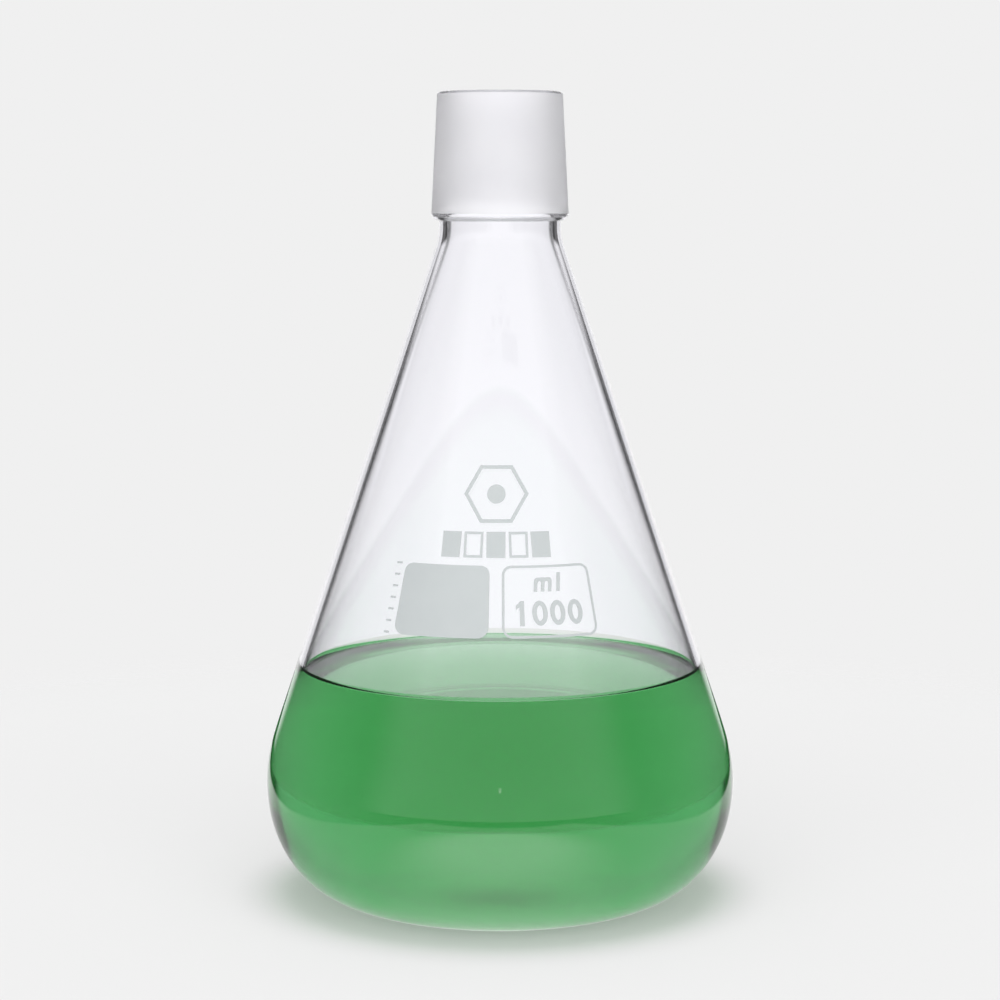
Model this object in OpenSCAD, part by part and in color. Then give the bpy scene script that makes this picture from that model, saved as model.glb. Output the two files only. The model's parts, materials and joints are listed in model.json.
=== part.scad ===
// Conical laboratory flask with a ground male taper joint on its neck, part filled
// with a green liquid. Millimetres, +Z up, origin at the centre of the base.

/* [Flask body] */
// Largest outside diameter
body_d = 139; // [136:0.5:142]
// Outside diameter of the flat ring that the flask stands on
base_d = 87; // [82:0.5:90]
// Height of the widest ring above the table
widest_h = 34; // [32:0.5:36]
// Radius of the arc between the widest ring and the cone
shoulder_r = 44; // [38:1:52]
// Half angle of the cone
cone_angle = 18.6; // [18.2:0.1:19]
// Outside diameter of the neck
neck_d = 35.6; // [35:0.2:36.4]
// Radius of the hollow arc between the cone and the neck
neck_blend_r = 16; // [10:1:18]
// Wall thickness of the cone and the neck
wall = 2.4; // [2:0.1:2.8]
// Thickness of the glass at the edge of the base
base_t = 3.4; // [3:0.1:4]
// Diameter at which the inside of the base turns up into the heel
floor_d = 76; // [68:1:80]
// Diameter of the shallow hollow under the base
punt_d = 70; // [60:1:76]
// Rise of that hollow at its centre
punt_rise = 1.6; // [1:0.1:2]

/* [Ground joint] */
// Overall height of the flask, at the joint's rim
height = 236.5; // [236:0.5:240]
// Large end diameter of the joint
joint_large_d = 40; // [39.8:0.1:40.2]
// Length of the ground zone
joint_length = 35; // [34:0.5:35]
// Length over which the joint's diameter grows by one unit
joint_taper = 10; // [10:1:12]
// Wall thickness of the joint
joint_wall = 2.3; // [2:0.1:2.6]
// Radius of the clear rounded shoulder below the ground zone
joint_shoulder_r = 2.2; // [1.8:0.1:2.2]
// Radius of the fire-polished rim
rim_r = 0.7; // [0.4:0.1:0.9]

/* [Fill] */
// Height of the liquid's surface
fill_h = 67.6; // [55:0.1:70]
// Height that the liquid climbs at the glass
meniscus_rise = 1.6; // [1:0.1:2]

/* [Marking] */
// Thickness of the enamel
enamel_t = 0.15; // [0.12:0.01:0.2]
// Height of the lower edge of the two fields
field_low = 85.3; // [84:0.1:87]
// Height of the upper edge of the two fields
field_high = 104.7; // [103:0.1:106]
// Angle round the axis that each field covers
field_sweep = 29.6; // [26:0.1:31]
// Angle of the gap between the two fields
field_gap = 4; // [3:0.1:6]
// Angle by which the whole marking sits to the left
marking_turn = 1.4; // [0:0.1:3]
// Corner radius of the fields
field_corner = 2.7; // [1.5:0.1:3.5]
// Line width of the capacity frame
frame_line = 0.65; // [0.5:0.05:0.9]
// Height of the capacity digits
digit_h = 6.7; // [6:0.1:7.2]
// Width of a capacity digit
digit_w = 4.4; // [3.6:0.1:4.6]
// Stroke width of the capacity digits
digit_line = 1.3; // [1:0.05:1.4]
// Height of the unit's tall letter
unit_h = 5; // [4.5:0.1:5.4]
// Slant of the unit
unit_lean = 7; // [0:1:12]
// Height of the six-sided emblem across its flats
emblem_w = 15.6; // [14:0.2:16.4]
// Line width of the emblem
emblem_line = 1; // [0.8:0.1:1.3]
// Height of the row of bars under the emblem
bar_h = 7; // [6:0.1:7.4]

/* [Hidden] */

$fn = 96;
ARC_STEP = 6;         // degrees between the points of a round stretch
CORNER_STEP = 15;     // degrees between the points of a small corner
HEX_STEP = 60;        // degrees between the corners of a hexagon
CLEAR = 1;            // how far a cutter or a band runs past what it cuts

glass_colour = [0.9, 0.93, 0.94, 0.35];
frosted_colour = [0.91, 0.91, 0.93];
liquid_colour = [0.28, 0.63, 0.34];
enamel_colour = [0.8, 0.83, 0.83];

body_r = body_d / 2;
base_r = base_d / 2;
floor_r = floor_d / 2;
punt_r = punt_d / 2;
neck_r = neck_d / 2;
bore_r = neck_r - wall;

// the ground joint, from its shoulder to its rim
joint_low = height - joint_length;
joint_large_r = joint_large_d / 2;
joint_small_r = joint_large_r - joint_length / joint_taper / 2;
seat_h = joint_low - joint_shoulder_r;
seat_r = joint_large_r - joint_shoulder_r;

// where the shoulder's arc meets the cone
cone_low_h = widest_h + shoulder_r * sin(cone_angle);
cone_low_r = body_r - shoulder_r * (1 - cos(cone_angle));
// where the hollow arc below the neck meets it
neck_low_h = cone_low_h + neck_blend_r * sin(cone_angle)
    + (cone_low_r - neck_r - neck_blend_r * (1 - cos(cone_angle))) / tan(cone_angle);

// where the marking's rows lie
number_h = 91.9;
unit_base_h = 97.6;
bar_middle_h = 110.3;
emblem_h = 124;
// angles round the axis, from the middle of the marking, at which the characters stand
one_turn = 8.1;
zero_turns = [13.6, 19.2, 24.9];
wide_letter_turn = 14.9;
tall_letter_turn = 20;

// ---- outlines -------------------------------------------------------------------------

// radius of the cone's outside at a height
function cone_r(z) = cone_low_r - (z - cone_low_h) * tan(cone_angle);

// points of an arc in the half section, from one angle to another
function arc(centre, r, from, to, step = ARC_STEP) =
    let (n = ceil(abs(to - from) / step))
    [for (i = [0:n]) let (a = from + (to - from) * i / n) centre + r * [cos(a), sin(a)]];

// the heel: a quarter of an ellipse, from the base ring up to the widest ring
function heel(low, high) =
    let (n = ceil(90 / ARC_STEP))
    [for (i = [0:n]) let (a = 90 * i / n)
        [low[0] + (high[0] - low[0]) * sin(a), low[1] + (high[1] - low[1]) * (1 - cos(a))]];

// one side of the glass from the base up to the neck, moved inwards by t
function side(t, low) = concat(
    heel(low, [body_r - t, widest_h]),
    arc([body_r - shoulder_r, widest_h], shoulder_r - t, ARC_STEP, cone_angle),
    arc([neck_r + neck_blend_r, neck_low_h], neck_blend_r + t, 180 + cone_angle, 180));

// a shallow dome over a disc of radius r, from its edge at height low to the axis
function dome(r, low, rise) =
    let (n = ceil(90 / CORNER_STEP))
    [for (i = [0:n]) [r * (1 - i / n), low + rise * (1 - pow(1 - i / n, 2))]];

function reversed(points) = [for (i = [len(points) - 1:-1:0]) points[i]];

// the inside of the glass: the floor from its edge to the axis, and the side up to the neck
inner_floor = dome(floor_r, base_t, punt_rise);
inner_side = side(wall, [floor_r, base_t]);

// the part of the inner side that the liquid wets, short of its edge
fill_edge_h = fill_h + meniscus_rise;
wet_side = [for (p = inner_side) if (p[1] < fill_h - meniscus_rise) p];

// radius of the inside at a height on the cone
function bore_of_cone(z) = cone_r(z) - wall / cos(cone_angle);

// a convex outline with its corners rounded
function rounded(points, r) =
    let (n = len(points))
    [for (i = [0:n - 1])
        let (p = points[i],
             u = unit(points[(i + n - 1) % n] - p),
             v = unit(points[(i + 1) % n] - p),
             half = acos(u * v) / 2,
             centre = p + unit(u + v) * r / sin(half),
             first = p + u * r / tan(half) - centre,
             from = atan2(first[1], first[0]),
             turn = 180 - 2 * half,
             steps = ceil(turn / CORNER_STEP))
        for (k = [0:steps]) centre + r * [cos(from + turn * k / steps), sin(from + turn * k / steps)]];

function unit(v) = v / norm(v);

// a point moved sideways with its height, as in a sloping letter
function leant(p) = [p[0] + p[1] * tan(unit_lean), p[1]];

// a bar with a round top, standing on height zero
function round_top(x, w, h) = concat(
    [[x - w / 2, 0], [x + w / 2, 0]],
    arc([x, h - w / 2], w / 2, 0, 180, CORNER_STEP));

// an ellipse's points
function ellipse(w, h) =
    [for (a = [0:CORNER_STEP:360 - CORNER_STEP]) [w / 2 * cos(a), h / 2 * sin(a)]];

// ---- the marking's helpers --------------------------------------------------------------

// the thin layer of enamel on the cone between two heights
module enamel_band(low, high) {
    rotate_extrude()
        polygon([[cone_r(low), low], [cone_r(low) + enamel_t, low],
                 [cone_r(high) + enamel_t, high], [cone_r(high), high]]);
}

// lays flat outlines on the cone, facing the front, turned round the axis to the right
module on_cone(turn, low, high) {
    color(enamel_colour)
        intersection() {
            enamel_band(low, high);
            rotate([0, 0, turn - marking_turn])
                rotate([90, 0, 0])
                    linear_extrude(body_r) children();
        }
}

// outline of a field, whose sides follow the cone's own lines, made smaller all round by t
module field_outline(t) {
    half = tan(field_sweep / 2) * cos(field_sweep / 2);
    low_w = cone_r(field_low + t) * half - t;
    high_w = cone_r(field_high - t) * half - t;
    polygon(rounded([[-low_w, field_low + t], [low_w, field_low + t],
                     [high_w, field_high - t], [-high_w, field_high - t]], field_corner - t));
}

module hexagon(across) {
    polygon([for (a = [0:HEX_STEP:359]) across / 2 / cos(HEX_STEP / 2) * [cos(a), sin(a)]]);
}

// ---- sub-parts --------------------------------------------------------------------------

// the blown flask: base, heel, cone and neck in one wall of clear glass
module flask_body() {
    color(glass_colour)
        rotate_extrude()
            polygon(concat(
                side(0, [base_r, 0]), [[neck_r, seat_h], [bore_r, seat_h]],
                reversed(inner_side), inner_floor, reversed(dome(punt_r, 0, punt_rise))));
}

// the ground male cone that is fused to the neck
module ground_cone() {
    top_inner_r = joint_small_r - joint_wall;
    low_inner_r = joint_large_r - joint_wall;
    color(frosted_colour)
        rotate_extrude()
            polygon(concat(
                [[bore_r, seat_h], [seat_r, seat_h]],
                arc([seat_r, joint_low], joint_shoulder_r, -90 + CORNER_STEP, 0, CORNER_STEP),
                arc([joint_small_r - rim_r, height - rim_r], rim_r, 0, 90, CORNER_STEP),
                arc([top_inner_r + rim_r, height - rim_r], rim_r, 90, 180, CORNER_STEP),
                [[low_inner_r, joint_low + joint_shoulder_r]]));
}

// the green filling, which touches the glass and climbs it a little at its edge
module green_liquid() {
    edge_r = bore_of_cone(fill_edge_h);
    // the quarter arc by which the surface climbs the glass
    climb = arc([edge_r - meniscus_rise, fill_edge_h], meniscus_rise, -CORNER_STEP, -90, CORNER_STEP);
    color(liquid_colour)
        rotate_extrude()
            polygon(concat(reversed(inner_floor), wet_side, [[edge_r, fill_edge_h]],
                           climb, [[0, fill_h]]));
}

// the solid writing field at the left
module marking_field() {
    on_cone(-(field_sweep + field_gap) / 2, field_low - CLEAR, field_high + CLEAR)
        field_outline(0);
}

// the rounded outline round the capacity at the right
module capacity_frame() {
    on_cone((field_sweep + field_gap) / 2, field_low - CLEAR, field_high + CLEAR)
        difference() {
            field_outline(0);
            field_outline(frame_line);
        }
}

// the unit, drawn as sloping strokes
module capacity_unit() {
    line = unit_h / 5;
    low = unit_base_h - CLEAR;
    high = unit_base_h + unit_h + CLEAR;
    on_cone(wide_letter_turn, low, high) translate([0, unit_base_h]) wide_letter(line);
    on_cone(tall_letter_turn, low, high) translate([0, unit_base_h]) tall_letter(line);
}

// three legs under one rounded shoulder, cut from a slab by two slots
module wide_letter(line) {
    h = unit_h * 0.76;
    w = unit_h * 1.02;
    slot_w = (w - 3 * line) / 2;
    difference() {
        polygon([for (p = rounded([[-w / 2, -line], [w / 2, -line], [w / 2, h], [-w / 2, h]], line))
                 leant([p[0], max(p[1], 0)])]);
        for (s = [-1, 1])
            polygon([for (p = round_top(s * (slot_w + line) / 2, slot_w, h - line))
                     leant([p[0], p[1] > 0 ? p[1] : -CLEAR])]);
    }
}

module tall_letter(line) {
    polygon([for (p = [[-line / 2, 0], [line / 2, 0], [line / 2, unit_h], [-line / 2, unit_h]])
             leant(p)]);
}

// the four digits of the capacity
module capacity_number() {
    low = number_h - digit_h;
    high = number_h + digit_h;
    on_cone(one_turn, low, high) translate([0, number_h]) one();
    for (turn = zero_turns)
        on_cone(turn, low, high) translate([0, number_h]) zero();
}

// a stem with a short flag at its left
module one() {
    stem = digit_line / 2;
    top = digit_h / 2;
    flag = digit_line * 1.3;
    polygon([[stem, -top], [stem, top], [-stem * 0.6, top], [-flag, top * 0.62],
             [-flag, top * 0.3], [-stem, top * 0.5], [-stem, -top]]);
}

module zero() {
    difference() {
        polygon(ellipse(digit_w, digit_h));
        polygon(ellipse(digit_w - 2 * digit_line, digit_h - 2 * digit_line));
    }
}

// a plain six-sided outline round a small disc
module emblem() {
    on_cone(0, emblem_h - emblem_w, emblem_h + emblem_w)
        translate([0, emblem_h]) {
            difference() {
                hexagon(emblem_w);
                hexagon(emblem_w - 2 * emblem_line);
            }
            circle(d = emblem_w / 3);
        }
}

// a row of plain bars under the emblem, full and open in turn
module name_bar() {
    count = 5;
    pitch = 7.8;
    bar = [bar_h * 0.76, bar_h];
    line = [emblem_line, emblem_line] * 1.4;
    for (i = [0:count - 1])
        on_cone((i - (count - 1) / 2) * pitch, bar_middle_h - bar_h, bar_middle_h + bar_h)
            translate([0, bar_middle_h]) difference() {
                square(bar, center = true);
                if (i % 2 == 1) square(bar - line, center = true);
            }
}

// a column of short ticks beside the writing field
module side_ticks() {
    count = 7;
    tick = [1.7, 0.55];
    turn = -(field_sweep + field_gap / 2 + 2.6);
    pitch = (field_high - field_low - tick[1]) / (count - 1);
    for (i = [0:count - 1]) {
        z = field_low + tick[1] / 2 + i * pitch;
        on_cone(turn, z - CLEAR, z + CLEAR) translate([0, z]) square(tick, center = true);
    }
}

flask_body();
ground_cone();
green_liquid();
marking_field();
capacity_frame();
capacity_unit();
capacity_number();
emblem();
name_bar();
side_ticks();
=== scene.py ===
"""A conical laboratory flask with a ground male joint, part filled with a green liquid.

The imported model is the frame. The glass, the joint and the liquid are built here as fine
solids of revolution. The liquid's sides lie a hair inside the glass, so that no air shows
between the two, and the enamel marks keep their CAD shapes.
"""

import json
import logging
import math
from dataclasses import dataclass, field
from enum import Enum
from typing import Any

import bmesh
import bpy
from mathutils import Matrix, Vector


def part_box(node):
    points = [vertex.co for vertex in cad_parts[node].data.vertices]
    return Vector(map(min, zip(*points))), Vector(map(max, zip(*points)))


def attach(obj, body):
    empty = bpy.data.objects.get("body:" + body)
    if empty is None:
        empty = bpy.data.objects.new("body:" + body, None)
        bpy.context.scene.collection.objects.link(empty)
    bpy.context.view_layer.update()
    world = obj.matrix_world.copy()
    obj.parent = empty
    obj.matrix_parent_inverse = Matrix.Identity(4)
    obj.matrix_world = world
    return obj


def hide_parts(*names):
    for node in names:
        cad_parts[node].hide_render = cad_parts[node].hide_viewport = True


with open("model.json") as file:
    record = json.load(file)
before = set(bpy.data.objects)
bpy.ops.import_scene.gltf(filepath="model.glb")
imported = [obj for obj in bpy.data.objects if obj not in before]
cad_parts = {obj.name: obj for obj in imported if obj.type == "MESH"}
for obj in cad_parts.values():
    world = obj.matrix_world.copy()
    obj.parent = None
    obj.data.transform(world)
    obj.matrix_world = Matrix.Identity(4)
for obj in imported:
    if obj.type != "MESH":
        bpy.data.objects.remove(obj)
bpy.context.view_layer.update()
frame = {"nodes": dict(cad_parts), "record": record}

log = logging.getLogger("flask")

BODY = "root"
MM = 0.001
AIR_IOR = 1.0
WATER_IOR = 1.333
GLASS_IOR = 1.473
SEGMENTS = 288
ARC_STEP = math.radians(2.0)
BAND = 3.0 * MM
HAIR = 0.02 * MM
SHARP_ANGLE = math.radians(32.0)
DEGREES = 180.0 / math.pi
WHITE = (1.0, 1.0, 1.0)
HALF = 0.5

Point = tuple[float, float]
Colour = tuple[float, float, float]


class Zone(Enum):
    """What a band of a revolved surface is, which says which finish it gets."""

    OUTSIDE = "outside"
    DRY = "dry"
    WET = "wet"
    SEAM = "seam"
    GROUND = "ground"


# ---- shader graphs ---------------------------------------------------------------------


class Val:
    """A number that travels through a shader graph, for use in Python arithmetic."""

    def __init__(self, graph: "Graph", socket: bpy.types.NodeSocket) -> None:
        """Wraps one output socket of a graph."""
        self.graph = graph
        self.socket = socket

    def _math(self, operation: str, first: Any, second: Any) -> "Val":
        """Adds one Math node and returns its result."""
        node = self.graph.add(
            "ShaderNodeMath", {"operation": operation}, {0: first, 1: second}
        )
        return Val(self.graph, node.outputs[0])

    def __add__(self, other: Any) -> "Val":
        """Sum."""
        return self._math("ADD", self, other)

    __radd__ = __add__

    def __sub__(self, other: Any) -> "Val":
        """Difference."""
        return self._math("SUBTRACT", self, other)

    def __rsub__(self, other: Any) -> "Val":
        """Difference, the other way round."""
        return self._math("SUBTRACT", other, self)

    def __mul__(self, other: Any) -> "Val":
        """Product."""
        return self._math("MULTIPLY", self, other)

    __rmul__ = __mul__

    def __truediv__(self, other: Any) -> "Val":
        """Quotient."""
        return self._math("DIVIDE", self, other)

    def __rtruediv__(self, other: Any) -> "Val":
        """Quotient, the other way round."""
        return self._math("DIVIDE", other, self)

    def __pow__(self, other: Any) -> "Val":
        """Power."""
        return self._math("POWER", self, other)

    def __abs__(self) -> "Val":
        """Size without sign."""
        return self._math("ABSOLUTE", self, 0.0)

    def ramp(self, low: float, high: float) -> "Val":
        """Rises smoothly from 0 at low to 1 at high.

        Args:
            low: the value at which the result leaves 0.
            high: the value at which the result reaches 1.

        Returns:
            The eased value between 0 and 1.
        """
        node = self.graph.add(
            "ShaderNodeMapRange",
            {"interpolation_type": "SMOOTHSTEP"},
            {"Value": self, "From Min": low, "From Max": high},
        )
        return Val(self.graph, node.outputs["Result"])


class Graph:
    """A node tree that is filled by plain calls."""

    def __init__(self, tree: bpy.types.NodeTree) -> None:
        """Empties the tree."""
        self.tree = tree
        tree.nodes.clear()

    def add(
        self,
        kind: str,
        settings: dict[str, Any] | None = None,
        inputs: dict[int | str, Any] | None = None,
    ) -> bpy.types.Node:
        """Adds a node.

        Args:
            kind: the node's type.
            settings: the node's own properties, which are set first.
            inputs: a value, a Val or an output socket for each named input.

        Returns:
            The new node.
        """
        node = self.tree.nodes.new(kind)
        for name, value in (settings or {}).items():
            setattr(node, name, value)
        for name, value in (inputs or {}).items():
            socket = node.inputs[name]
            if isinstance(value, Val):
                value = value.socket
            if isinstance(value, bpy.types.NodeSocket):
                self.tree.links.new(value, socket)
            else:
                socket.default_value = value
        return node

    def place(self) -> bpy.types.NodeSocket:
        """The point being shaded, in the row frame, in metres."""
        return self.add("ShaderNodeTexCoord").outputs["Object"]

    def stretched(self, scale: Colour) -> bpy.types.NodeSocket:
        """The point being shaded, with each axis multiplied by its own number."""
        node = self.add(
            "ShaderNodeVectorMath", {"operation": "MULTIPLY"}, {0: self.place(), 1: scale}
        )
        return node.outputs["Vector"]

    def noise(self, scale: float, detail: float = 2.0, vector: Any = None) -> Val:
        """Soft noise between 0 and 1.

        Args:
            scale: the number of waves in a metre.
            detail: how many finer layers are added.
            vector: where to read it; the plain place if left out.

        Returns:
            The noise's value.
        """
        node = self.add(
            "ShaderNodeTexNoise",
            {"noise_dimensions": "3D"},
            {"Vector": vector or self.place(), "Scale": scale, "Detail": detail},
        )
        return Val(self, node.outputs["Fac"])

    def blend(self, factor: Any, first: Colour, second: Colour) -> bpy.types.NodeSocket:
        """A colour between two others.

        Args:
            factor: 0 for the first colour and 1 for the second.
            first: the colour at 0.
            second: the colour at 1.

        Returns:
            The mixed colour's socket.
        """
        node = self.add(
            "ShaderNodeMix",
            {"data_type": "RGBA", "clamp_factor": True},
            {0: factor, 6: (*first, 1.0), 7: (*second, 1.0)},
        )
        return node.outputs[2]

    def bump(self, height: Val, distance: float, strength: float) -> bpy.types.NodeSocket:
        """A normal that follows small heights.

        Args:
            height: the heights, between 0 and 1.
            distance: the depth of a height of 1, in metres.
            strength: how much of it shows.

        Returns:
            The normal's socket.
        """
        node = self.add(
            "ShaderNodeBump", {}, {"Height": height, "Distance": distance, "Strength": strength}
        )
        return node.outputs["Normal"]

    def angle(self, operation: str, first: Val, second: Any = 0.0) -> Val:
        """An angle in degrees."""
        node = self.add("ShaderNodeMath", {"operation": operation}, {0: first, 1: second})
        return Val(self, node.outputs[0]) * DEGREES

    def window(self, value: Val, edges: tuple[float, ...]) -> Val:
        """Is 1 between the two middle edges and falls to 0 at the outer two."""
        return value.ramp(edges[0], edges[1]) * (1.0 - value.ramp(edges[2], edges[3]))

    def pick(self, chosen: Any, first: Any, second: Any) -> Val:
        """The first number where chosen is 0 and the second where it is 1."""
        node = self.add("ShaderNodeMix", {"data_type": "FLOAT"}, {0: chosen, 2: first, 3: second})
        return Val(self, node.outputs[0])

    def mix(self, factor: Any, first: bpy.types.Node, second: bpy.types.Node) -> bpy.types.Node:
        """The first shader where factor is 0 and the second where it is 1."""
        inputs = {0: factor, 1: first.outputs[0], 2: second.outputs[0]}
        return self.add("ShaderNodeMixShader", {}, inputs)

    def mirrored(self) -> Val:
        """Is 1 for what shows as a mirror image in a polished surface, and 0 otherwise."""
        path = self.add("ShaderNodeLightPath").outputs
        return Val(self, path["Is Glossy Ray"]) * (1.0 - Val(self, path["Is Transmission Ray"]))

    def finish(self, surface: bpy.types.NodeSocket, volume: Any = None) -> None:
        """Adds the material's output node."""
        inputs = {"Surface": surface}
        if volume is not None:
            inputs["Volume"] = volume
        self.add("ShaderNodeOutputMaterial", {}, inputs)


def new_graph(name: str) -> tuple[bpy.types.Material, Graph]:
    """A fresh material and the graph that fills it."""
    material = bpy.data.materials.new(name)
    material.use_nodes = True
    return material, Graph(material.node_tree)


# ---- finishes --------------------------------------------------------------------------


@dataclass(frozen=True)
class ClearGlass:
    """Blown borosilicate glass, with the faint waves of the blowing."""

    name: str = "clear_glass"
    ior: float = GLASS_IOR
    tint: Colour = (0.992, 0.997, 1.0)
    mirror: float = 1.0
    wave_scale: float = 28.0
    wave_depth: float = 0.05 * MM
    wave_strength: float = 0.05

    def build(self) -> bpy.types.Material:
        """Makes the material."""
        material, graph = new_graph(self.name)
        wave = graph.noise(self.wave_scale, 1.0)
        tint = graph.blend(wave, self.tint, WHITE)
        shader = graph.add(
            "ShaderNodeBsdfPrincipled",
            {},
            {
                "Base Color": tint,
                "Roughness": 0.0,
                "IOR": self.ior,
                "Transmission Weight": 1.0,
                "Specular Tint": (self.mirror,) * 3 + (1.0,),
                "Normal": graph.bump(wave, self.wave_depth, self.wave_strength),
            },
        )
        graph.finish(shader.outputs[0])
        return material


@dataclass(frozen=True)
class GroundGlass:
    """The ground zone of the joint: matt, with fine rings left by the grinding."""

    name: str = "ground_glass"
    matt: Colour = (0.95, 0.945, 0.975)
    pale: Colour = (0.98, 0.975, 1.0)
    veil: float = 0.52
    veil_spread: float = 0.16
    roughness: Point = (0.5, 0.68)
    ring_scale: Colour = (60.0, 60.0, 5200.0)
    grain_scale: float = 2600.0
    grain_detail: float = 3.0
    cloud_scale: float = 70.0
    depth: float = 0.02 * MM
    relief: float = 0.5

    def build(self) -> bpy.types.Material:
        """Makes the material."""
        material, graph = new_graph(self.name)
        rings = graph.noise(1.0, vector=graph.stretched(self.ring_scale))
        grain = graph.noise(self.grain_scale, self.grain_detail)
        cloud = graph.noise(self.cloud_scale)
        relief = graph.bump(rings * HALF + grain * HALF, self.depth, self.relief)
        low, high = self.roughness
        clear = graph.add(
            "ShaderNodeBsdfPrincipled",
            {},
            {
                "Base Color": graph.blend(cloud, self.matt, WHITE),
                "Roughness": low + (high - low) * grain,
                "IOR": GLASS_IOR,
                "Transmission Weight": 1.0,
                "Normal": relief,
            },
        )
        veil = graph.add(
            "ShaderNodeBsdfPrincipled",
            {},
            {
                "Base Color": graph.blend(cloud, self.matt, self.pale),
                "Roughness": low + (high - low) * grain,
                "Normal": relief,
            },
        )
        share = self.veil - HALF * self.veil_spread + self.veil_spread * cloud
        graph.finish(graph.mix(share, clear, veil).outputs[0])
        return material


@dataclass(frozen=True)
class GreenLiquid:
    """A clear green solution in water, which takes its colour from its depth."""

    name: str = "green_liquid"
    ior: float = WATER_IOR
    tint: Colour = (0.98, 1.0, 0.985)
    cloud_scale: float = 18.0
    colour: Colour = (0.08, 0.68, 0.22)
    density: float = 25.0
    mirror: float = 0.12

    def build(self) -> bpy.types.Material:
        """Makes the material."""
        material, graph = new_graph(self.name)
        cloud = graph.noise(self.cloud_scale, 1.0)
        shader = graph.add(
            "ShaderNodeBsdfPrincipled",
            {},
            {
                "Base Color": graph.blend(cloud, self.tint, WHITE),
                "Roughness": 0.0,
                "IOR": self.ior,
                "Transmission Weight": 1.0,
                "Specular Tint": (self.mirror,) * 3 + (1.0,),
            },
        )
        depth = graph.add(
            "ShaderNodeVolumeAbsorption",
            {},
            {"Color": (*self.colour, 1.0), "Density": self.density},
        )
        graph.finish(shader.outputs[0], depth.outputs[0])
        return material


@dataclass(frozen=True)
class FiredEnamel:
    """Grey-white printing that is fired on to the glass."""

    name: str = "enamel"
    thin: Colour = (0.48, 0.515, 0.52)
    full: Colour = (0.54, 0.57, 0.575)
    roughness: Point = (0.42, 0.6)
    cloud_scale: float = 140.0
    cloud_detail: float = 3.0
    cloud_share: float = 0.7
    speck_scale: float = 3200.0
    speck_depth: float = 0.01 * MM
    speck_strength: float = 0.4

    def build(self) -> bpy.types.Material:
        """Makes the material."""
        material, graph = new_graph(self.name)
        cloud = graph.noise(self.cloud_scale, self.cloud_detail)
        speck = graph.noise(self.speck_scale)
        tone = cloud * self.cloud_share + speck * (1.0 - self.cloud_share)
        low, high = self.roughness
        shader = graph.add(
            "ShaderNodeBsdfPrincipled",
            {},
            {
                "Base Color": graph.blend(tone, self.thin, self.full),
                "Roughness": low + (high - low) * speck,
                "Normal": graph.bump(speck, self.speck_depth, self.speck_strength),
            },
        )
        graph.finish(shader.outputs[0])
        return material


@dataclass(frozen=True)
class PaleTable:
    """The pale surface under the flask, which fades out into the backdrop.

    A faint painted green light lies round the flask and stands for light through the liquid. Polished
    glass mirrors the surface as a painted over-lit sheet, painted dark beyond two side edges and the
    back, with a painted pool of light in the middle.
    """

    name: str = "pale_table"
    paint: float = 0.50
    glow: float = 0.29
    seen_through: float = 0.85
    # Painted green light round the flask: a green tint and extra glow that stand for light through
    # the liquid.
    painted_green_light: Colour = (0.86, 1.0, 0.87)
    painted_green_light_gain: float = 0.16
    painted_green_light_r: tuple[float, ...] = (0.030, 0.045, 0.060, 0.078)
    fade: Point = (0.30, 0.43)
    # Painted reflection: how the table shows in polished glass, as a glowing sheet with a painted
    # pool of light.
    sheet_x: Point = (0.150, 0.166)
    sheet_y: Point = (0.255, 0.285)
    sheet_light: Point = (0.55, 1.05)
    pool_light: float = 2.35
    pool_r: Point = (0.035, 0.105)
    pool_y: float = 0.140

    def build(self) -> bpy.types.Material:
        """Makes the material."""
        material, graph = new_graph(self.name)
        parts = graph.add("ShaderNodeSeparateXYZ", {}, {0: graph.place()})
        x, y = (abs(Val(graph, parts.outputs[i])) for i in range(2))
        away = (x * x + y * y) ** HALF
        # Painted green light: a ring round the flask where the table's glow turns green and grows
        # stronger.
        painted_green_light = graph.window(away, self.painted_green_light_r)
        shader = graph.add(
            "ShaderNodeBsdfPrincipled",
            {},
            {
                "Base Color": (self.paint,) * 3 + (1.0,),
                "Roughness": 1.0,
                "Specular IOR Level": 0.0,
                "Emission Color": graph.blend(painted_green_light, WHITE, self.painted_green_light),
                "Emission Strength": self.glow * (1.0 + self.painted_green_light_gain * painted_green_light),
                "Alpha": 1.0 - away.ramp(*self.fade),
            },
        )
        # Painted reflection of the table: an over-lit sheet, painted dark beyond its sides and back,
        # with a painted pool of light in the middle.
        from_pool = (x * x + (y - self.pool_y) * (y - self.pool_y)) ** HALF
        side, front = self.sheet_light
        sheet = side + (front - side) * y.ramp(0.0, self.pool_y)
        pool = self.pool_light * (1.0 - from_pool.ramp(*self.pool_r))
        painted_sheet_mask = (1.0 - x.ramp(*self.sheet_x)) * (1.0 - y.ramp(*self.sheet_y))
        lit = graph.add("ShaderNodeEmission", {}, {"Strength": (sheet + pool) * painted_sheet_mask})
        mixed = graph.mix(graph.mirrored(), shader, lit)
        through = graph.add("ShaderNodeEmission", {}, {"Strength": self.seen_through})
        clear = graph.add("ShaderNodeBsdfTransparent")
        faded = graph.mix(away.ramp(*self.fade), through, clear)
        path = graph.add("ShaderNodeLightPath").outputs
        shown = graph.mix(path["Is Transmission Ray"], mixed, faded)
        graph.finish(shown.outputs[0])
        return material


# ---- meshes ----------------------------------------------------------------------------


def arc(centre: Point, radius: float, start: float, end: float) -> list[Point]:
    """Points of an arc in the half section.

    Args:
        centre: radius and height of the arc's centre.
        radius: the arc's own radius.
        start: the angle of the first point, in radians.
        end: the angle of the last point, in radians.

    Returns:
        The points, from the first to the last.
    """
    count = max(2, math.ceil(abs(end - start) / ARC_STEP))
    angles = [start + (end - start) * i / count for i in range(count + 1)]
    return [(centre[0] + radius * math.cos(a), centre[1] + radius * math.sin(a)) for a in angles]


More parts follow.
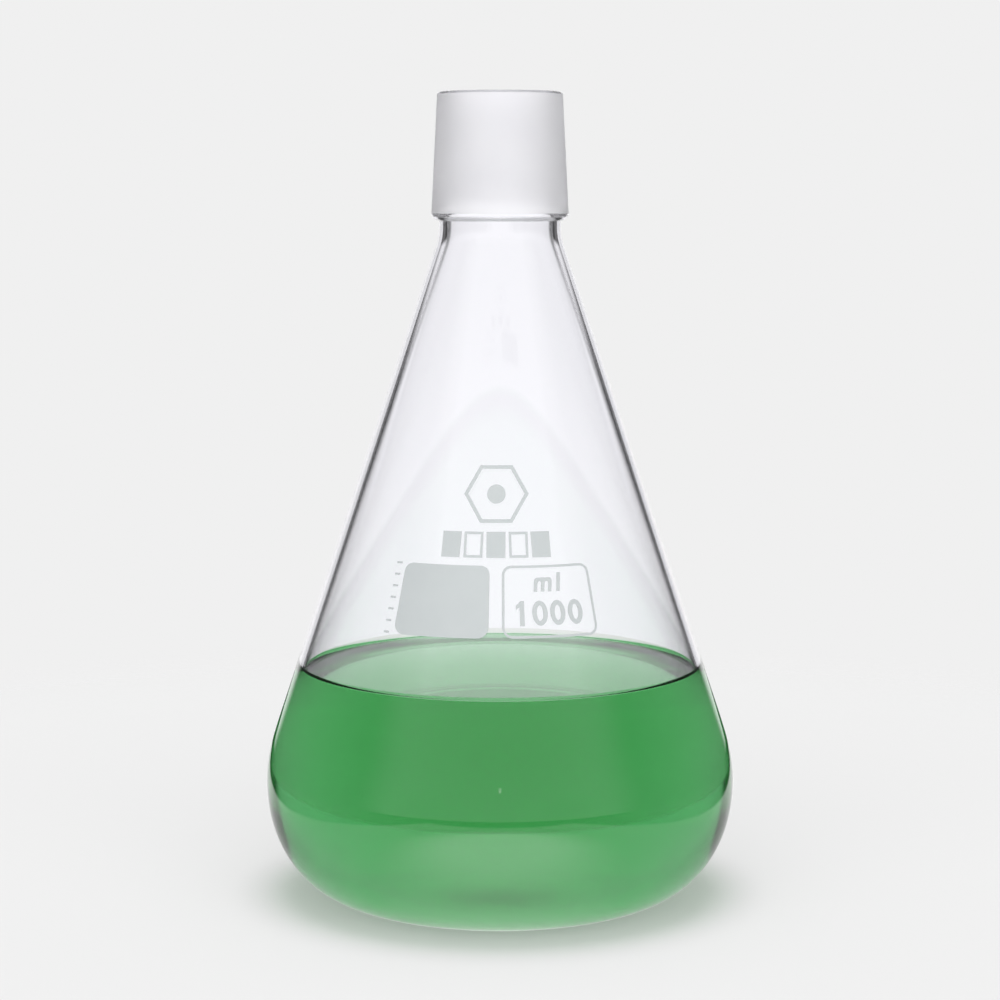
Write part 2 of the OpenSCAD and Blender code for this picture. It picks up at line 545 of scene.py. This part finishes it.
def stretched_arc(low: Point, high: Point) -> list[Point]:
    """A quarter of an ellipse that leaves low level and reaches high upright."""
    count = math.ceil(math.pi / 2 / ARC_STEP)
    angles = [math.pi / 2 * i / count for i in range(count + 1)]
    return [
        (
            low[0] + (high[0] - low[0]) * math.sin(a),
            low[1] + (high[1] - low[1]) * (1 - math.cos(a)),
        )
        for a in angles
    ]


def dome(radius: float, low: float, rise: float) -> list[Point]:
    """A shallow dome from its edge to the axis."""
    count = math.ceil(radius / BAND)
    shares = [i / count for i in range(count + 1)]
    return [(radius * (1 - s), low + rise * (1 - (1 - s) ** 2)) for s in shares]


def banded(points: list[Point]) -> list[Point]:
    """The same outline with long straight stretches cut into short bands."""
    out = [points[0]]
    for here, there in zip(points, points[1:]):
        length = math.dist(here, there)
        count = max(1, math.ceil(length / BAND))
        out += [
            (
                here[0] + (there[0] - here[0]) * i / count,
                here[1] + (there[1] - here[1]) * i / count,
            )
            for i in range(1, count + 1)
        ]
    return out


@dataclass
class Stretch:
    """A run of an outline that has one zone."""

    zone: Zone
    points: list[Point]


def revolve(name: str, stretches: list[Stretch], ring: bool = False) -> bpy.types.Object:
    """Turns an outline round the axis into a closed mesh.

    Args:
        name: the piece's name.
        stretches: the outline's runs, each starting where the one before ends.
        ring: whether the outline is a closed loop clear of the axis.

    Returns:
        The piece, with each face's material index set by its zone, in order of first use.
    """
    zones = list(dict.fromkeys(s.zone for s in stretches))
    outline: list[tuple[Point, int]] = []
    for stretch in stretches:
        points = banded(stretch.points)
        outline += [(p, zones.index(stretch.zone)) for p in points[:-1]]
    if not ring:
        outline.append((stretches[-1].points[-1], 0))
    mesh = bmesh.new()
    turns = [2 * math.pi * i / SEGMENTS for i in range(SEGMENTS)]
    rings = []
    for (radius, height), _ in outline:
        if radius < HAIR:
            rings.append([mesh.verts.new((0, 0, height))])
        else:
            rings.append(
                [mesh.verts.new((radius * math.sin(t), -radius * math.cos(t), height)) for t in turns]
            )
    pairs = list(zip(range(len(rings)), range(1, len(rings))))
    if ring:
        pairs.append((len(rings) - 1, 0))
    for a, b in pairs:
        for i in range(SEGMENTS):
            j = (i + 1) % SEGMENTS
            corners = [rings[a][i % len(rings[a])], rings[a][j % len(rings[a])]]
            corners += [rings[b][j % len(rings[b])], rings[b][i % len(rings[b])]]
            face = mesh.faces.new(list(dict.fromkeys(corners)))
            face.material_index = outline[a][1]
            face.smooth = True
    bmesh.ops.recalc_face_normals(mesh, faces=mesh.faces)
    data = bpy.data.meshes.new(name)
    mesh.to_mesh(data)
    mesh.free()
    data.set_sharp_from_angle(angle=SHARP_ANGLE)
    piece = bpy.data.objects.new(name, data)
    bpy.context.scene.collection.objects.link(piece)
    piece["zones"] = [z.value for z in zones]
    return piece


def dress(piece: bpy.types.Object, finishes: dict[Zone, bpy.types.Material]) -> None:
    """Gives each zone of a revolved piece its material."""
    for value in piece["zones"]:
        piece.data.materials.append(finishes[Zone(value)])


def seat(piece: bpy.types.Object, slot: str, *nodes: str) -> None:
    """Fastens a piece to the frame in place of its CAD nodes, and reports it."""
    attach(piece, BODY)
    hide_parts(*nodes)
    log.info("%s: %d faces, stands for %s", piece.name, len(piece.data.polygons), ", ".join(nodes))


# ---- sub-assemblies --------------------------------------------------------------------


@dataclass
class Flask:
    """The blown flask, from its rest ring up to the seam with the joint."""

    body_r: float
    seam_h: float
    floor_h: float
    base_r: float = 43.5 * MM
    floor_r: float = 38.0 * MM
    punt_r: float = 35.0 * MM
    punt_rise: float = 1.6 * MM
    widest_h: float = 34.0 * MM
    shoulder_r: float = 44.0 * MM
    cone_angle: float = math.radians(18.6)
    neck_r: float = 17.8 * MM
    neck_blend_r: float = 16.0 * MM
    wall: float = 2.4 * MM
    cone_low_h: float = field(init=False)
    cone_low_r: float = field(init=False)
    neck_low_h: float = field(init=False)

    def __post_init__(self) -> None:
        """Works out where the cone meets its two arcs."""
        a = self.cone_angle
        self.cone_low_h = self.widest_h + self.shoulder_r * math.sin(a)
        self.cone_low_r = self.body_r - self.shoulder_r * (1 - math.cos(a))
        narrowing = self.cone_low_r - self.neck_r - self.neck_blend_r * (1 - math.cos(a))
        self.neck_low_h = self.cone_low_h + self.neck_blend_r * math.sin(a) + narrowing / math.tan(a)

    def cone_r(self, height: float) -> float:
        """Radius of the cone's outside at a height."""
        return self.cone_low_r - (height - self.cone_low_h) * math.tan(self.cone_angle)

    def inner_r(self, height: float) -> float:
        """Radius of the cone's inside at a height."""
        return self.cone_r(height) - self.wall / math.cos(self.cone_angle)

    def side(self, inset: float, low: Point) -> list[Point]:
        """One side of the glass from the base to the seam.

        Args:
            inset: how far the side lies inside the outer surface.
            low: the point at which it leaves the base.

        Returns:
            The points, from the base up.
        """
        a = self.cone_angle
        heel = stretched_arc(low, (self.body_r - inset, self.widest_h))
        shoulder = arc(
            (self.body_r - self.shoulder_r, self.widest_h), self.shoulder_r - inset, 0.0, a
        )
        neck = arc(
            (self.neck_r + self.neck_blend_r, self.neck_low_h),
            self.neck_blend_r + inset,
            math.pi + a,
            math.pi,
        )
        return heel + shoulder[1:] + neck + [(self.neck_r - inset, self.seam_h - HAIR)]

    def floor(self) -> list[Point]:
        """The inside of the base, from its edge to the axis."""
        return dome(self.floor_r, self.floor_h, self.punt_rise)

    def inside(self) -> list[Point]:
        """The inside of the glass from the floor's edge to the seam."""
        return self.side(self.wall, (self.floor_r, self.floor_h))

    def wetted(self, height: float) -> tuple[list[Point], list[Point]]:
        """The inside's points below a height, and those above it."""
        points = banded(self.inside())
        edge = (self.inner_r(height), height)
        below = [p for p in points if p[1] < height - HAIR] + [edge]
        above = [edge] + [p for p in points if p[1] > height + HAIR]
        return below, above

    def build(self, fill_edge: float, finishes: dict[Zone, bpy.types.Material]) -> None:
        """Makes the glass and dresses it.

        Args:
            fill_edge: the height that the liquid reaches on the glass.
            finishes: the material of each zone.
        """
        below, above = self.wetted(fill_edge)
        outer = self.side(0.0, (self.base_r, 0.0))
        punt = dome(self.punt_r, 0.0, self.punt_rise)
        glass = revolve(
            "blown_flask",
            [
                Stretch(Zone.OUTSIDE, punt[::-1] + [(self.base_r, 0.0)]),
                Stretch(Zone.OUTSIDE, outer),
                Stretch(Zone.SEAM, [outer[-1], above[-1]]),
                Stretch(Zone.DRY, above[::-1]),
                Stretch(Zone.WET, below[::-1]),
                Stretch(Zone.WET, self.floor()),
            ],
        )
        dress(glass, finishes)
        seat(glass, "clear_glass", "flask_body")


@dataclass
class Joint:
    """The ground male cone with its clear rounded shoulder and fire-polished rim."""

    top_h: float
    large_r: float
    length: float
    seam_h: float
    seam_outer_r: float
    seam_inner_r: float
    taper: float = 10.0
    wall: float = 2.3 * MM
    rim_r: float = 0.7 * MM

    def build(self, finishes: dict[Zone, bpy.types.Material]) -> None:
        """Makes the joint and dresses it.

        Args:
            finishes: the material of each zone.
        """
        low_h = self.top_h - self.length
        small_r = self.large_r - self.length / self.taper / 2
        shoulder_r = low_h - self.seam_h
        quarter = math.pi / 2
        rim_h = self.top_h - self.rim_r
        shoulder = arc((self.large_r - shoulder_r, low_h), shoulder_r, -quarter, 0.0)
        outer_rim = arc((small_r - self.rim_r, rim_h), self.rim_r, 0.0, quarter)
        inner_rim = arc((small_r - self.wall + self.rim_r, rim_h), self.rim_r, quarter, 2 * quarter)
        flare = (self.large_r - self.wall, low_h + shoulder_r)
        bore = (self.seam_inner_r, self.seam_h)
        seam_edge = (self.seam_outer_r, self.seam_h)
        piece = revolve(
            "ground_joint",
            [
                Stretch(Zone.SEAM, [bore, seam_edge]),
                Stretch(Zone.OUTSIDE, [seam_edge] + shoulder),
                Stretch(Zone.GROUND, [shoulder[-1], outer_rim[0]]),
                Stretch(Zone.OUTSIDE, outer_rim + inner_rim),
                Stretch(Zone.DRY, [inner_rim[-1], flare, bore]),
            ],
            ring=True,
        )
        dress(piece, finishes)
        seat(piece, "ground_glass", "ground_cone")


@dataclass
class Filling:
    """The liquid, which climbs the glass a little at its edge."""

    flask: Flask
    edge_h: float
    climb: float = 1.6 * MM

    def build(self, liquid: bpy.types.Material) -> None:
        """Makes the liquid and dresses it.

        Its sides lie a hair inside the glass, so that no air shows between the two.

        Args:
            liquid: the material of the liquid.
        """
        below, _ = self.flask.wetted(self.edge_h)
        floor = [(r, z - HAIR) for r, z in self.flask.floor()]
        side = [(r + HAIR, max(z, self.flask.floor_h - HAIR)) for r, z in below]
        edge_r = side[-1][0]
        meniscus = arc((edge_r - self.climb, self.edge_h), self.climb, 0.0, -math.pi / 2)
        piece = revolve(
            "green_filling",
            [
                Stretch(Zone.WET, floor[::-1] + side),
                Stretch(Zone.WET, meniscus + [(0.0, self.edge_h - self.climb)]),
            ],
        )
        dress(piece, {Zone.WET: liquid})
        seat(piece, "green_liquid", "green_liquid")


@dataclass
class Printing:
    """The enamel marks, which keep their CAD shapes."""

    nodes: tuple[str, ...] = (
        "marking_field",
        "capacity_frame",
        "capacity_unit",
        "capacity_number",
        "emblem",
        "name_bar",
        "side_ticks",
    )

    def build(self, enamel: bpy.types.Material) -> None:
        """Dresses the marks.

        Args:
            enamel: the material of the print.
        """
        for name in self.nodes:
            mark = frame["nodes"][name]
            mark.data.materials.clear()
            mark.data.materials.append(enamel)
            log.info("%s: %d faces, CAD shape", name, len(mark.data.polygons))


@dataclass(frozen=True)
class Surroundings:
    """The soft light all round.

    What shows through the glass is a pale backdrop between dark screens. Two narrow slits in
    it draw the thin dark lines down the cone: they show only by the number of glass faces
    that a ray has crossed. What shows as a mirror image is a dark room with a pale window in
    front and a narrow pale wall behind. Matt surfaces are lit from overhead. Angles are in
    degrees, from the front and back line and from the level.
    """

    seen: float = 0.871
    halfway: Point = (-0.02, 0.02)
    tint: Colour = (0.992, 0.982, 1.03)
    backdrop: float = 1.02
    dim_above: tuple[Point, ...] = ((-8.0, -1.0), (0.0, 9.0), (14.0, 26.0))
    dim_by: tuple[float, ...] = (0.06, 0.02, 0.15)
    slit: tuple[float, ...] = (16.0, 22.0, 50.0, 60.0)
    rim_slit: tuple[float, ...] = (26.0, 28.5, 50.0, 60.0)
    slit_low: Point = (-14.0, -6.0)
    slit_high: Point = (6.0, 11.0)
    slit_dark: float = 0.93
    rim_faces: tuple[float, ...] = (0.4, 0.6, 2.4, 2.6)
    cone_faces: tuple[float, ...] = (2.4, 2.6, 5.4, 5.6)
    screen: tuple[float, ...] = (47.0, 54.0, 91.0, 92.0)
    screen_low: Point = (-14.0, -6.0)
    screen_high: Point = (26.0, 38.0)
    screen_dark: float = 0.86
    wall: Point = (20.0, 31.0)
    wall_light: float = 1.0
    room_light: float = 0.06
    window: Point = (50.0, 75.0)
    window_light: float = 0.90
    lamp_az: Point = (0.4, 1.0)
    lamp_el: tuple[float, ...] = (15.0, 16.0, 19.0, 20.0)
    lamp_light: float = 3.0
    top: Point = (66.0, 80.0)
    top_light: float = 6.35
    front: Point = (30.0, 80.0)
    front_light: float = 1.05
    ambient: float = 0.31

    def build(self, graph: Graph) -> None:
        """Fills the world's graph.

        Args:
            graph: the world's empty graph.
        """
        way = graph.add("ShaderNodeTexCoord").outputs["Generated"]
        parts = graph.add("ShaderNodeSeparateXYZ", {}, {0: way})
        x, y, z = (Val(graph, parts.outputs[i]) for i in range(3))
        turn = graph.angle("ARCTAN2", abs(x), abs(y))
        rise = graph.angle("ARCSINE", z)
        behind = y.ramp(*self.halfway)

        path = graph.add("ShaderNodeLightPath").outputs
        through = self.backdrop
        for edges, share in zip(self.dim_above, self.dim_by):
            through = through - share * rise.ramp(*edges)
        screen = graph.window(turn, self.screen) * rise.ramp(*self.screen_low)
        screen = screen * (1.0 - rise.ramp(*self.screen_high))
        through = through * (1.0 - screen * self.screen_dark)
        faces = Val(graph, path["Transmission Depth"])
        within = graph.window(faces, self.rim_faces) * graph.window(turn, self.rim_slit)
        across = graph.window(faces, self.cone_faces) * graph.window(turn, self.slit)
        slit = (within + across) * rise.ramp(*self.slit_low) * (1.0 - rise.ramp(*self.slit_high))
        through = through * (1.0 - slit * self.slit_dark)

        wall = behind * (1.0 - turn.ramp(*self.wall))
        lamp = (1.0 - behind) * (1.0 - turn.ramp(*self.lamp_az)) * graph.window(rise, self.lamp_el)
        window = (1.0 - behind) * (1.0 - turn.ramp(*self.window))
        mirror = self.room_light + self.wall_light * wall + self.lamp_light * lamp
        mirror = mirror + self.window_light * window

        front = (1.0 - behind) * (1.0 - turn.ramp(*self.front))
        matt = self.ambient + self.top_light * rise.ramp(*self.top) + self.front_light * front

        plain = graph.pick(graph.mirrored(), matt, mirror)
        tinted = graph.add(
            "ShaderNodeVectorMath", {"operation": "SCALE"}, {0: self.tint, "Scale": through}
        )
        lit = graph.add(
            "ShaderNodeMix",
            {"data_type": "RGBA"},
            {0: path["Is Transmission Ray"], 6: plain.socket, 7: tinted.outputs[0]},
        )
        shown = graph.add(
            "ShaderNodeMix",
            {"data_type": "RGBA"},
            {0: path["Is Camera Ray"], 6: lit.outputs[2], 7: (self.seen,) * 3 + (1.0,)},
        )
        background = graph.add("ShaderNodeBackground", {}, {"Color": shown.outputs[2]})
        graph.add("ShaderNodeOutputWorld", {}, {"Surface": background.outputs[0]})


@dataclass
class Studio:
    """The plain pale surface, the soft light all round and the camera."""

    camera_distance: float = 764.5 * MM
    camera_height: float = 208.5 * MM
    camera_tilt: float = math.radians(6.80)
    lens: float = 93.86
    sensor: float = 36.0
    near_clip: float = 0.01
    table_r: float = 0.45
    bounces: int = 32

    def build(self) -> None:
        """Makes the stage, the light and the camera."""
        self.make_table()
        self.make_light()
        self.make_camera()
        scene = bpy.context.scene
        scene.view_settings.view_transform = "Standard"
        scene.cycles.max_bounces = self.bounces
        scene.cycles.transmission_bounces = self.bounces
        scene.cycles.transparent_max_bounces = self.bounces

    def make_table(self) -> None:
        """Makes the pale disc under the flask."""
        mesh = bmesh.new()
        bmesh.ops.create_circle(mesh, cap_ends=True, segments=SEGMENTS, radius=self.table_r)
        data = bpy.data.meshes.new("table")
        mesh.to_mesh(data)
        mesh.free()
        data.materials.append(PaleTable().build())
        table = bpy.data.objects.new("table", data)
        table.location.z = -2 * HAIR
        bpy.context.scene.collection.objects.link(table)

    def make_light(self) -> None:
        """Gives the world its light."""
        world = bpy.data.worlds.new("soft_box")
        world.use_nodes = True
        bpy.context.scene.world = world
        Surroundings().build(Graph(world.node_tree))

    def make_camera(self) -> None:
        """Sets the camera in front of the printed side, a little above the liquid."""
        data = bpy.data.cameras.new("camera")
        data.lens = self.lens
        data.sensor_width = self.sensor
        data.clip_start = self.near_clip
        camera = bpy.data.objects.new("camera", data)
        camera.location = (0.0, -self.camera_distance, self.camera_height)
        camera.rotation_euler = (math.pi / 2 - self.camera_tilt, 0.0, 0.0)
        bpy.context.scene.collection.objects.link(camera)
        bpy.context.scene.camera = camera


# ---- the whole object --------------------------------------------------------------------


def glass_finishes() -> dict[Zone, bpy.types.Material]:
    """The material of each zone of the two glass pieces."""
    clear = ClearGlass().build()
    return {
        Zone.OUTSIDE: clear,
        Zone.DRY: clear,
        Zone.WET: ClearGlass("wetted_glass", mirror=0.06).build(),
        Zone.SEAM: ClearGlass("fused_seam", AIR_IOR).build(),
        Zone.GROUND: GroundGlass().build(),
    }


def main() -> None:
    """Builds the flask, its joint, its filling, its printing and the studio."""
    mounts = {m["name"]: m for m in frame["record"]["mounts"]}
    taper = mounts["taper_joint"]
    body_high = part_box("flask_body")[1]
    liquid_low, liquid_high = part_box("green_liquid")
    finishes = glass_finishes()

    flask = Flask(body_r=body_high.x, seam_h=body_high.z, floor_h=liquid_low.z)
    flask.build(liquid_high.z, finishes)
    joint = Joint(
        top_h=taper["pos_m"][2],
        large_r=taper["dims"]["r_mm"] * MM,
        length=taper["dims"]["length_mm"] * MM,
        seam_h=body_high.z,
        seam_outer_r=flask.neck_r,
        seam_inner_r=flask.neck_r - flask.wall,
    )
    joint.build(finishes)
    Filling(flask, liquid_high.z).build(GreenLiquid().build())
    Printing().build(FiredEnamel().build())
    Studio().build()


if __name__ == "__main__":
    logging.basicConfig(level=logging.INFO, format="%(name)s %(message)s")
    main()
